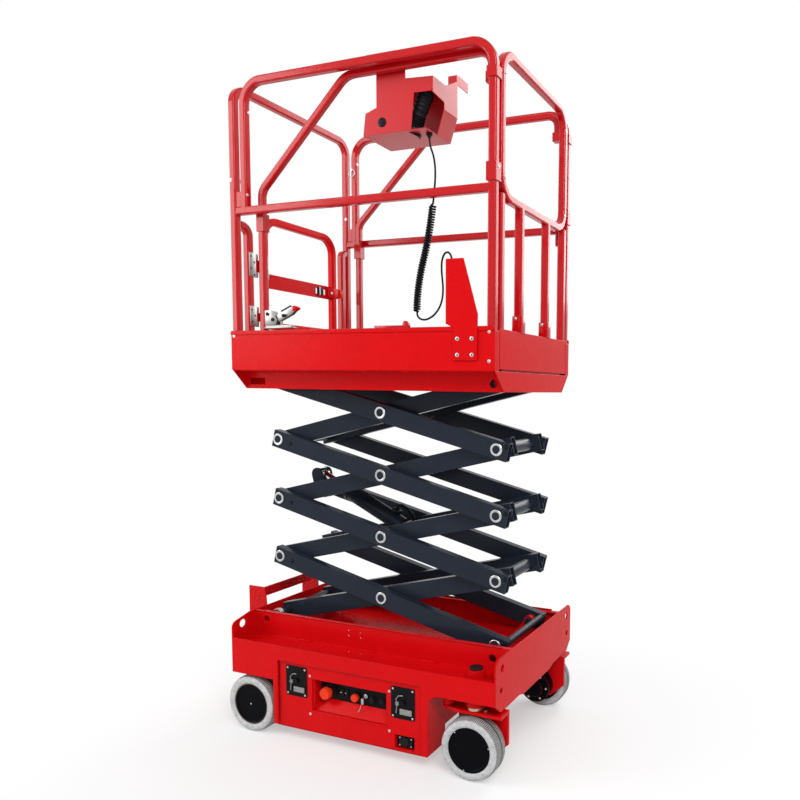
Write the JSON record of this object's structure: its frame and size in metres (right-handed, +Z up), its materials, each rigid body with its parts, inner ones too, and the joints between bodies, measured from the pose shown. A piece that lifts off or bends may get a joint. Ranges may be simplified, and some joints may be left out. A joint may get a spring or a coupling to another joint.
{
  "type": "mobile scissor lift table",
  "caption": "Self-propelled scissor lift: a narrow wheeled chassis, crossed arm pairs on a slanted cylinder and a guarded platform with a sliding deck and a rear gate.",
  "frame": {"origin": "on the floor, midway along, across and below the whole machine", "axes": "+X towards the steered wheels and the sliding deck's front, +Y across towards the far side, +Z up"},
  "size_m": [1.286, 0.76, 2.563],
  "materials": {
    "red": "gloss red enamel",
    "slate": "satin dark blue-grey enamel",
    "silver": "bright zinc",
    "hub_black": "satin black",
    "tyre_grey": "matt light grey solid rubber",
    "black_plastic": "matt black",
    "stop_red": "gloss red",
    "cord": "matt black",
    "battery": "matt black"
  },
  "bodies": {
    "chassis": {"chassis_frame": "red", "front_plate": "red", "rear_plate": "red", "cabinets": "red", "service_panels": "red", "control_panel": "black_plastic", "ground_controls": "stop_red", "side_fittings": "black_plastic", "rear_step": "red", "battery_block": "battery"},
    "wheel_front_near": {"tyre_front_near": "tyre_grey", "rim_front_near": "hub_black"},
    "wheel_front_far": {"tyre_front_far": "tyre_grey", "rim_front_far": "hub_black"},
    "wheel_rear_near": {"tyre_rear_near": "tyre_grey", "rim_rear_near": "hub_black"},
    "wheel_rear_far": {"tyre_rear_far": "tyre_grey", "rim_rear_far": "hub_black"},
    "steer_near": {"knuckle_near": "red"},
    "steer_far": {"knuckle_far": "red"},
    "tie_rod": {"tie_rod": "red"},
    "outer_1": {"outer_arms_1": "slate"},
    "inner_1": {"inner_arms_1": "slate", "lower_rollers": "silver"},
    "outer_2": {"outer_arms_2": "slate"},
    "inner_2": {"inner_arms_2": "slate"},
    "outer_3": {"outer_arms_3": "slate"},
    "inner_3": {"inner_arms_3": "slate"},
    "outer_4": {"outer_arms_4": "slate", "upper_rollers": "silver"},
    "inner_4": {"inner_arms_4": "slate"},
    "barrel": {"lift_barrel": "slate"},
    "rod": {"lift_rod": "silver"},
    "platform": {"platform_frame": "red", "deck_plate": "red", "toe_boards": "red", "cable_guard": "red", "side_rails_near": "red", "side_rails_far": "red", "rear_rails": "red", "gate_hinges": "silver", "control_box": "red", "joystick": "black_plastic", "cord_glands": "black_plastic", "control_cord": "cord", "cord_coil": "cord"},
    "gate": {"gate": "red"},
    "extension": {"extension_deck": "red", "extension_panel": "red", "extension_rails": "red", "front_rails": "red", "toggle_latch": "silver"}
  },
  "joints": [
    {"name": "lift", "type": "hinge", "parent": "chassis", "child": "outer_1", "pos_m": [0.541, 0, 0.44], "axis": [0, 1, 0], "range_deg": [-9.6, 42.2]},
    {"name": "inner_1_pin", "type": "hinge", "parent": "outer_1", "child": "inner_1", "pos_m": [0.0395, 0, 0.563], "axis": [0, 1, 0], "range_deg": [-84.5, 19.3]},
    {"name": "inner_2_pin", "type": "hinge", "parent": "outer_1", "child": "inner_2", "pos_m": [-0.462, 0, 0.686], "axis": [0, 1, 0], "range_deg": [-84.5, 19.3]},
    {"name": "outer_2_pin", "type": "hinge", "parent": "inner_2", "child": "outer_2", "pos_m": [0.0395, 0, 0.809], "axis": [0, 1, 0], "range_deg": [-19.3, 84.5]},
    {"name": "outer_3_pin", "type": "hinge", "parent": "inner_2", "child": "outer_3", "pos_m": [0.541, 0, 0.932], "axis": [0, 1, 0], "range_deg": [-19.3, 84.5]},
    {"name": "inner_3_pin", "type": "hinge", "parent": "outer_3", "child": "inner_3", "pos_m": [0.0395, 0, 1.055], "axis": [0, 1, 0], "range_deg": [-84.5, 19.3]},
    {"name": "inner_4_pin", "type": "hinge", "parent": "outer_3", "child": "inner_4", "pos_m": [-0.462, 0, 1.178], "axis": [0, 1, 0], "range_deg": [-84.5, 19.3]},
    {"name": "outer_4_pin", "type": "hinge", "parent": "inner_4", "child": "outer_4", "pos_m": [0.0395, 0, 1.301], "axis": [0, 1, 0], "range_deg": [-19.3, 84.5]},
    {"name": "platform_pin", "type": "hinge", "parent": "inner_4", "child": "platform", "pos_m": [0.541, 0, 1.424], "axis": [0, 1, 0], "range_deg": [-9.7, 42.3]},
    {"name": "barrel_pin", "type": "hinge", "parent": "outer_2", "child": "barrel", "pos_m": [0.0395, 0, 0.809], "axis": [0, 1, 0], "range_deg": [-5.8, 1.6]},
    {"name": "rod_slide", "type": "slide", "parent": "barrel", "child": "rod", "axis": [-0.8994, 0, 0.4372], "range_m": [-0.034, 0.14]},
    {"name": "steer", "type": "hinge", "parent": "chassis", "child": "steer_near", "pos_m": [0.5275, -0.32, 0.115], "axis": [0, 0, 1], "range_deg": [-60, 60]},
    {"name": "steer_far_pin", "type": "hinge", "parent": "chassis", "child": "steer_far", "pos_m": [0.5275, 0.32, 0.115], "axis": [0, 0, 1], "range_deg": [-60.5, 60.5]},
    {"name": "tie_rod_pin", "type": "hinge", "parent": "steer_near", "child": "tie_rod", "pos_m": [0.4175, -0.32, 0.263], "axis": [0, 0, 1], "range_deg": [-60.5, 60.5]},
    {"name": "wheel_front_near_spin", "type": "hinge", "parent": "steer_near", "child": "wheel_front_near", "pos_m": [0.5275, -0.34, 0.115], "axis": [0, 1, 0], "continuous": true},
    {"name": "wheel_rear_near_spin", "type": "hinge", "parent": "chassis", "child": "wheel_rear_near", "pos_m": [-0.4625, -0.34, 0.115], "axis": [0, 1, 0], "continuous": true},
    {"name": "wheel_front_far_spin", "type": "hinge", "parent": "steer_far", "child": "wheel_front_far", "pos_m": [0.5275, 0.34, 0.115], "axis": [0, 1, 0], "continuous": true},
    {"name": "wheel_rear_far_spin", "type": "hinge", "parent": "chassis", "child": "wheel_rear_far", "pos_m": [-0.4625, 0.34, 0.115], "axis": [0, 1, 0], "continuous": true},
    {"name": "gate_hinge", "type": "hinge", "parent": "platform", "child": "gate", "pos_m": [-0.5155, -0.242, 1.8], "axis": [0, 0, -1], "range_deg": [0, 90]},
    {"name": "extension_slide", "type": "slide", "parent": "platform", "child": "extension", "axis": [1, 0, 0], "range_m": [0, 0.5]}
  ],
  "couplings": [
    {"joint": "inner_1_pin", "follows": "lift", "ratio": -2},
    {"joint": "inner_2_pin", "follows": "lift", "ratio": -2},
    {"joint": "outer_2_pin", "follows": "lift", "ratio": 2},
    {"joint": "outer_3_pin", "follows": "lift", "ratio": 2},
    {"joint": "inner_3_pin", "follows": "lift", "ratio": -2},
    {"joint": "inner_4_pin", "follows": "lift", "ratio": -2},
    {"joint": "outer_4_pin", "follows": "lift", "ratio": 2},
    {"joint": "platform_pin", "follows": "lift", "ratio": 1},
    {"joint": "barrel_pin", "follows": "lift", "ratio": -0.13},
    {"joint": "rod_slide", "follows": "lift", "m_per_rad": 0.185},
    {"joint": "steer_far_pin", "follows": "steer", "ratio": 1},
    {"joint": "tie_rod_pin", "follows": "steer", "ratio": -1}
  ]
}
